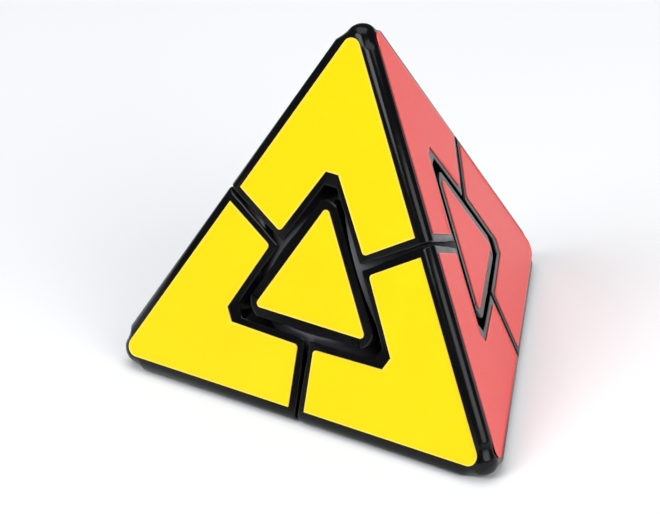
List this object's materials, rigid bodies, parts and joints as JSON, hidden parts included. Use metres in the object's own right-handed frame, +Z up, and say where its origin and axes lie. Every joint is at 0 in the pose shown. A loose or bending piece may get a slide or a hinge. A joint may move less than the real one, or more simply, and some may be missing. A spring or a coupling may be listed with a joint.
{
  "type": "pyramid twisty puzzle",
  "caption": "Black pyramid twisty puzzle with coloured stickers; each corner layer turns about its own axis on a hidden screwed core.",
  "frame": {"origin": "centre of the face the puzzle rests on", "axes": "+Z up through the top corner, -Y out through the front (yellow) face's side, +X to the right of it"},
  "size_m": [0.0888, 0.0783, 0.0734],
  "materials": {
    "black_shell": "glossy black moulded ABS",
    "grey_inner": "dark grey moulded ABS",
    "core_plastic": "off-white moulded nylon",
    "steel": "zinc plated steel",
    "yellow_vinyl": "glossy yellow vinyl",
    "red_vinyl": "glossy red vinyl",
    "blue_vinyl": "glossy blue vinyl",
    "green_vinyl": "glossy green vinyl"
  },
  "bodies": {
    "core": {"core_spider": "core_plastic", "corner_top_screw": "steel", "corner_left_screw": "steel", "corner_right_screw": "steel", "corner_rear_screw": "steel"},
    "corner_top": {"corner_top_shell": "black_shell", "corner_top_base": "grey_inner", "corner_top_spring": "steel", "corner_top_washer": "steel", "corner_top_sticker_front": "yellow_vinyl", "corner_top_sticker_right": "red_vinyl", "corner_top_sticker_left": "blue_vinyl"},
    "corner_left": {"corner_left_shell": "black_shell", "corner_left_base": "grey_inner", "corner_left_spring": "steel", "corner_left_washer": "steel", "corner_left_sticker_front": "yellow_vinyl", "corner_left_sticker_left": "blue_vinyl", "corner_left_sticker_bottom": "green_vinyl"},
    "corner_right": {"corner_right_shell": "black_shell", "corner_right_base": "grey_inner", "corner_right_spring": "steel", "corner_right_washer": "steel", "corner_right_sticker_front": "yellow_vinyl", "corner_right_sticker_right": "red_vinyl", "corner_right_sticker_bottom": "green_vinyl"},
    "corner_rear": {"corner_rear_shell": "black_shell", "corner_rear_base": "grey_inner", "corner_rear_spring": "steel", "corner_rear_washer": "steel", "corner_rear_sticker_right": "red_vinyl", "corner_rear_sticker_left": "blue_vinyl", "corner_rear_sticker_bottom": "green_vinyl"},
    "centre_front": {"centre_front_cap": "black_shell", "centre_front_foot": "grey_inner", "centre_front_sticker": "yellow_vinyl"},
    "centre_right": {"centre_right_cap": "black_shell", "centre_right_foot": "grey_inner", "centre_right_sticker": "red_vinyl"},
    "centre_left": {"centre_left_cap": "black_shell", "centre_left_foot": "grey_inner", "centre_left_sticker": "blue_vinyl"},
    "centre_bottom": {"centre_bottom_cap": "black_shell", "centre_bottom_foot": "grey_inner", "centre_bottom_sticker": "green_vinyl"},
    "edge_top_left": {"edge_top_left": "grey_inner"},
    "edge_top_right": {"edge_top_right": "grey_inner"},
    "edge_top_rear": {"edge_top_rear": "grey_inner"},
    "edge_left_right": {"edge_left_right": "grey_inner"},
    "edge_left_rear": {"edge_left_rear": "grey_inner"},
    "edge_right_rear": {"edge_right_rear": "grey_inner"}
  },
  "joints": [
    {"name": "top_twist", "type": "hinge", "parent": "core", "child": "corner_top", "pos_m": [0, 0, 0.02], "axis": [0, 0, 1], "continuous": true},
    {"name": "left_twist", "type": "hinge", "parent": "core", "child": "corner_left", "pos_m": [0, 0, 0.02], "axis": [-0.8165, -0.4714, -0.3333], "range_deg": [-360, 360]},
    {"name": "right_twist", "type": "hinge", "parent": "core", "child": "corner_right", "pos_m": [0, 0, 0.02], "axis": [0.8165, -0.4714, -0.3333], "range_deg": [-360, 360]},
    {"name": "rear_twist", "type": "hinge", "parent": "core", "child": "corner_rear", "pos_m": [0, 0, 0.02], "axis": [0, 0.9428, -0.3333], "range_deg": [-360, 360]},
    {"name": "edge_top_left_with_left", "type": "hinge", "parent": "corner_top", "child": "edge_top_left", "pos_m": [0, 0, 0.02], "axis": [-0.8165, -0.4714, -0.3333], "range_deg": [-360, 360]},
    {"name": "edge_top_right_with_right", "type": "hinge", "parent": "corner_top", "child": "edge_top_right", "pos_m": [0, 0, 0.02], "axis": [0.8165, -0.4714, -0.3333], "range_deg": [-360, 360]},
    {"name": "edge_top_rear_with_rear", "type": "hinge", "parent": "corner_top", "child": "edge_top_rear", "pos_m": [0, 0, 0.02], "axis": [0, 0.9428, -0.3333], "range_deg": [-360, 360]},
    {"name": "edge_left_right_with_right", "type": "hinge", "parent": "corner_left", "child": "edge_left_right", "pos_m": [0, 0, 0.02], "axis": [0.8165, -0.4714, -0.3333], "range_deg": [-360, 360]},
    {"name": "edge_left_rear_with_rear", "type": "hinge", "parent": "corner_left", "child": "edge_left_rear", "pos_m": [0, 0, 0.02], "axis": [0, 0.9428, -0.3333], "range_deg": [-360, 360]},
    {"name": "edge_right_rear_with_rear", "type": "hinge", "parent": "corner_right", "child": "edge_right_rear", "pos_m": [0, 0, 0.02], "axis": [0, 0.9428, -0.3333], "range_deg": [-360, 360]},
    {"name": "centre_front_with_right", "type": "hinge", "parent": "edge_top_left", "child": "centre_front", "pos_m": [0, 0, 0.02], "axis": [0.8165, -0.4714, -0.3333], "range_deg": [-360, 360]},
    {"name": "centre_left_with_rear", "type": "hinge", "parent": "edge_top_left", "child": "centre_left", "pos_m": [0, 0, 0.02], "axis": [0, 0.9428, -0.3333], "range_deg": [-360, 360]},
    {"name": "centre_right_with_rear", "type": "hinge", "parent": "edge_top_right", "child": "centre_right", "pos_m": [0, 0, 0.02], "axis": [0, 0.9428, -0.3333], "range_deg": [-360, 360]},
    {"name": "centre_bottom_with_rear", "type": "hinge", "parent": "edge_left_right", "child": "centre_bottom", "pos_m": [0, 0, 0.02], "axis": [0, 0.9428, -0.3333], "range_deg": [-360, 360]}
  ],
  "couplings": [
    {"joint": "edge_top_left_with_left", "follows": "left_twist", "ratio": 1},
    {"joint": "edge_top_right_with_right", "follows": "right_twist", "ratio": 1},
    {"joint": "edge_top_rear_with_rear", "follows": "rear_twist", "ratio": 1},
    {"joint": "edge_left_right_with_right", "follows": "right_twist", "ratio": 1},
    {"joint": "edge_left_rear_with_rear", "follows": "rear_twist", "ratio": 1},
    {"joint": "edge_right_rear_with_rear", "follows": "rear_twist", "ratio": 1},
    {"joint": "centre_front_with_right", "follows": "right_twist", "ratio": 1},
    {"joint": "centre_left_with_rear", "follows": "rear_twist", "ratio": 1},
    {"joint": "centre_right_with_rear", "follows": "rear_twist", "ratio": 1},
    {"joint": "centre_bottom_with_rear", "follows": "rear_twist", "ratio": 1}
  ]
}
